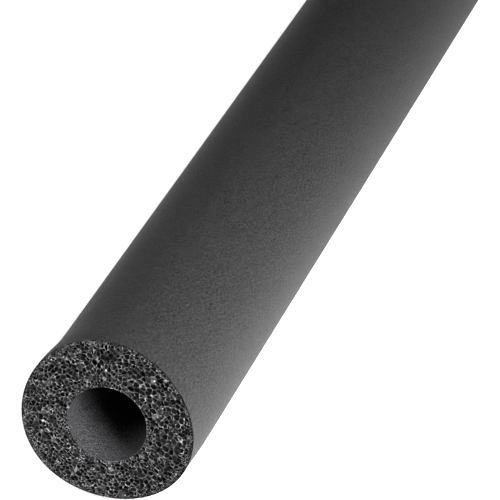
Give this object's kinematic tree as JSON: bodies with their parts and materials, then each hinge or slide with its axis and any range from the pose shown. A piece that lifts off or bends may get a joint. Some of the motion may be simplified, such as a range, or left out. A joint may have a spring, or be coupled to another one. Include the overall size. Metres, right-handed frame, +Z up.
{
  "type": "pipe insulation lagging",
  "caption": "Straight round tube of black elastomeric foam that slips over a pipe, with a thick wall, a smooth skin and square cut ends that show its cells.",
  "frame": {"origin": "middle of the line on which the tube rests, halfway along it", "axes": "+Y along the tube from its front end, which the picture shows, to its far end; +Z up; +X to the right when looking along +Y"},
  "size_m": [0.0495, 1, 0.0497],
  "materials": {
    "foam_rubber": "closed matt skin outside and in the bore, open cut cells on both ends"
  },
  "bodies": {
    "root": {"foam_tube": "foam_rubber"}
  },
  "joints": []
}
